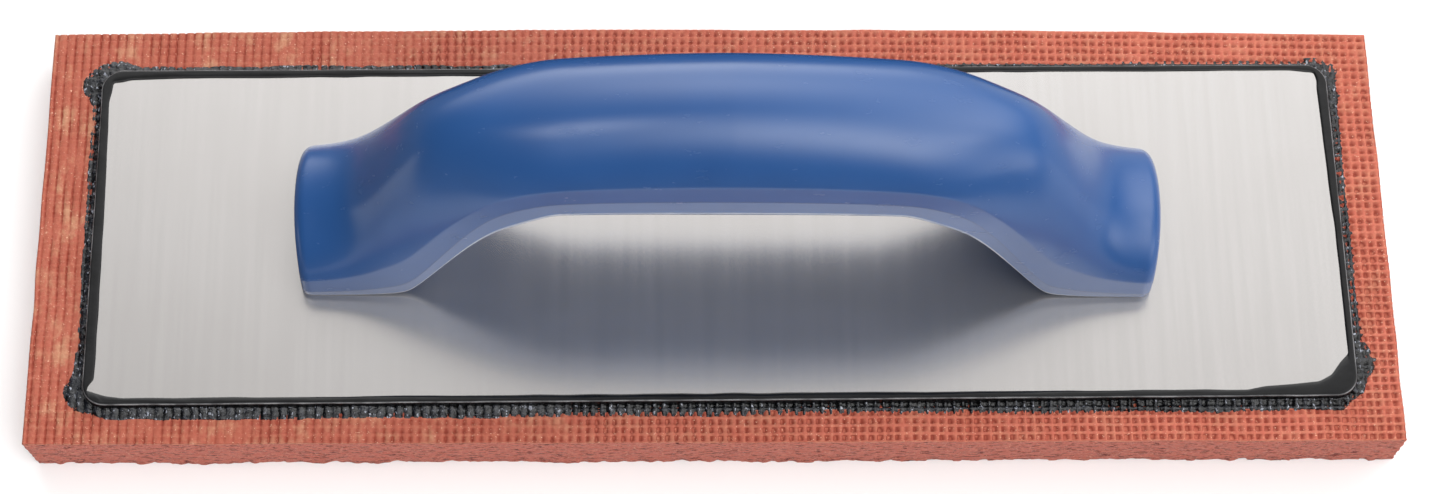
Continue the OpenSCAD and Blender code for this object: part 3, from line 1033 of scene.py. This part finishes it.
def soft_light(tree, elevation, azimuth, focus, strength):
    """Light from one direction of the sky, fading smoothly away from it."""
    place = tree.nodes.new("ShaderNodeTexCoord")
    towards = tree.nodes.new("ShaderNodeVectorMath")
    towards.operation = "DOT_PRODUCT"
    tree.links.new(place.outputs["Generated"], towards.inputs[0])
    towards.inputs[1].default_value = direction(math.radians(elevation), math.radians(azimuth))
    away = math_node(tree, "SUBTRACT", towards.outputs["Value"], 1.0)
    fade = math_node(tree, "EXPONENT", math_node(tree, "MULTIPLY", away, focus))
    return math_node(tree, "MULTIPLY", fade, strength)


def add_world():
    """White for the camera. It lights the object with the soft lights."""
    world = bpy.data.worlds.new("studio")
    bpy.context.scene.world = world
    world.use_nodes = True
    tree = world.node_tree
    light = tree.nodes["Background"]
    total = 0.0
    for settings in SOFT_LIGHTS:
        total = math_node(tree, "ADD", total, soft_light(tree, **settings))
    tree.links.new(total, light.inputs["Strength"])
    light.inputs["Color"].default_value = (1, 1, 1, 1)
    plain = tree.nodes.new("ShaderNodeBackground")
    plain.inputs["Color"].default_value = (1, 1, 1, 1)
    path = tree.nodes.new("ShaderNodeLightPath")
    mix = tree.nodes.new("ShaderNodeMixShader")
    tree.links.new(path.outputs["Is Camera Ray"], mix.inputs["Fac"])
    tree.links.new(light.outputs[0], mix.inputs[1])
    tree.links.new(plain.outputs[0], mix.inputs[2])
    tree.links.new(mix.outputs[0], tree.nodes["World Output"].inputs["Surface"])


def add_sheet(name, low, high, z, material):
    """A flat level sheet of the studio, which isn't part of the object."""
    mesh = bpy.data.meshes.new(name)
    (left, near), (right, far) = low, high
    corners = [(left, near, z), (right, near, z), (right, far, z), (left, far, z)]
    mesh.from_pydata(corners, [], [(0, 1, 2, 3)])
    mesh.materials.append(material)
    sheet = bpy.data.objects.new(name, mesh)
    bpy.context.scene.collection.objects.link(sheet)
    return sheet


def white_floor():
    g = Graph("white_floor")
    g.set(Base_Color=(0.85, 0.85, 0.85, 1), Roughness=0.9, Specular_IOR_Level=0.1)
    g.set(Emission_Color=(1, 1, 1, 1), Emission_Strength=FLOOR_GLOW)
    return g.material


def lit_patch(name, glow):
    """A sheet that gives off light and reflects none. With no glow it is black."""
    g = Graph(name)
    g.set(Base_Color=(0, 0, 0, 1), Specular_IOR_Level=0.0)
    g.set(Emission_Color=(1, 1, 1, 1), Emission_Strength=glow)
    return g.material


def seen_in_reflections(sheet):
    """Hides a sheet from the camera, and leaves it to the glossy reflections."""
    sheet.visible_camera = False
    sheet.visible_diffuse = False
    sheet.visible_shadow = False


def add_studio():
    add_world()
    whole = (-FLOOR_REACH, -FLOOR_REACH), (FLOOR_REACH, FLOOR_REACH)
    add_sheet("floor", *whole, 0.0, white_floor())
    seen_in_reflections(add_sheet("dark_floor", *whole, DARK_LIFT, lit_patch("dark_floor", 0)))
    for name, (low, high, glow) in LIT_PATCHES.items():
        seen_in_reflections(add_sheet(name, low, high, PATCH_LIFT, lit_patch(name, glow)))
    bpy.context.scene.view_settings.view_transform = "Standard"


def write_sizes():
    def plain(bounds):
        return [[float(number) for number in corner] for corner in bounds]


add_camera()
add_studio()
dress_cad_nodes()
make_pad()
make_rim_sealant()
make_squeeze_out()
make_handle()
write_sizes()
